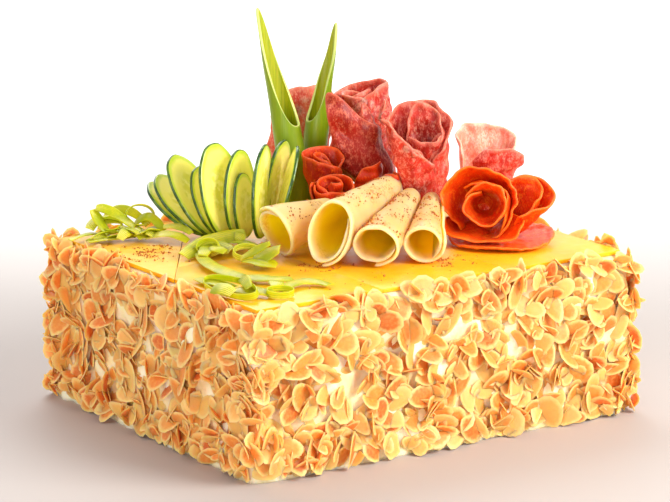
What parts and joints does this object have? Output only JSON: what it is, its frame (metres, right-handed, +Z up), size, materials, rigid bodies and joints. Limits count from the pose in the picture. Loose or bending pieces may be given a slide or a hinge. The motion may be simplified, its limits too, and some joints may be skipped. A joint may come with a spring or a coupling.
{
  "type": "savory cake",
  "caption": "Rectangular savory cake coated in flaked almonds, topped with cheese slices, cheese rolls, salami roses, a cucumber fan and spring onion.",
  "frame": {"origin": "middle of the flat underside of the cake block", "axes": "+Z up, X along the long side of the cake, Y along the short side; the toppings face the corner at -X, -Y"},
  "size_m": [0.2921, 0.248, 0.2408],
  "materials": {
    "almond_coat": "toasted flaked almonds over white cream",
    "sliced_cheese": "smooth, moist, lightly glossy",
    "rolled_cheese": "smooth satin with paprika dust",
    "pink_salami": "satin, marbled with white fat",
    "red_salami": "oily satin, paprika red",
    "cucumber": "wet pale flesh with dark green peel",
    "onion_leaf": "smooth satin with fine ribs",
    "cut_onion": "moist, translucent"
  },
  "bodies": {
    "root": {"cake": "almond_coat", "cheese_slice_front_left": "sliced_cheese", "cheese_slice_front_middle": "sliced_cheese", "cheese_slice_front_right": "sliced_cheese", "cheese_slice_back_left": "sliced_cheese", "cheese_slice_back_middle": "sliced_cheese", "cheese_slice_back_right": "sliced_cheese", "cheese_slice_corner": "sliced_cheese", "cheese_roll_1": "rolled_cheese", "cheese_roll_2": "rolled_cheese", "cheese_roll_3": "rolled_cheese", "cheese_roll_4": "rolled_cheese", "salami_pink_1": "pink_salami", "salami_pink_2": "pink_salami", "salami_pink_3": "pink_salami", "salami_pink_4": "pink_salami", "salami_pink_5": "pink_salami", "salami_pink_6": "pink_salami", "salami_pink_7": "pink_salami", "salami_red_1": "red_salami", "salami_red_2": "red_salami", "salami_red_3": "red_salami", "salami_red_4": "red_salami", "salami_red_5": "red_salami", "salami_red_6": "red_salami", "salami_red_base": "red_salami", "cucumber_slice_01": "cucumber", "cucumber_slice_02": "cucumber", "cucumber_slice_03": "cucumber", "cucumber_slice_04": "cucumber", "cucumber_slice_05": "cucumber", "cucumber_slice_06": "cucumber", "cucumber_slice_07": "cucumber", "cucumber_slice_08": "cucumber", "cucumber_slice_09": "cucumber", "cucumber_slice_10": "cucumber", "leaf_left": "onion_leaf", "leaf_right": "onion_leaf", "onion_heap_left": "cut_onion", "onion_heap_middle": "cut_onion", "onion_heap_front": "cut_onion"}
  },
  "joints": []
}
